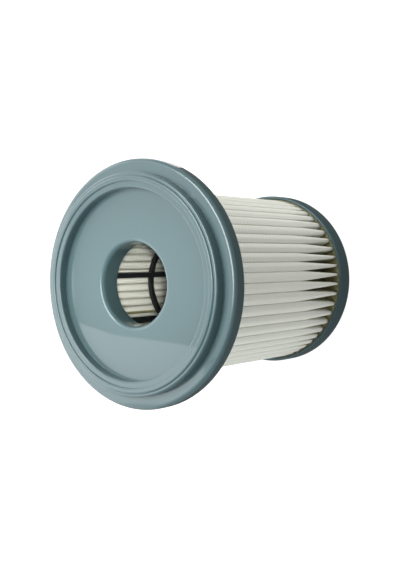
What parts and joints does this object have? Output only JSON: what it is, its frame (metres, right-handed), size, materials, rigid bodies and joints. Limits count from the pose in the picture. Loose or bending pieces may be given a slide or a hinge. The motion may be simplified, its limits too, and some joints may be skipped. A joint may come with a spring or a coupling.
{
  "type": "pleated cartridge filter",
  "caption": "Round pleated cartridge filter with a stepped front flange, a central outlet, a closed rear cap and an open support cage inside.",
  "frame": {"origin": "centre of the rear cap's outer face, which the filter stands on", "axes": "+Z along the filter's axis towards the outlet; +X and +Y across it, X through a groove or crease only by its angle"},
  "size_m": [0.1258, 0.1258, 0.1385],
  "materials": {
    "flange_plastic": "satin",
    "cap_plastic": "satin",
    "filter_paper": "matte",
    "cage_plastic": "satin",
    "set_glue": "satin"
  },
  "bodies": {
    "root": {"front_flange": "flange_plastic", "rear_end_cap": "cap_plastic", "pleated_media": "filter_paper", "support_cage": "cage_plastic", "front_potting": "set_glue", "rear_potting": "set_glue", "seam_bead": "set_glue"}
  },
  "joints": []
}
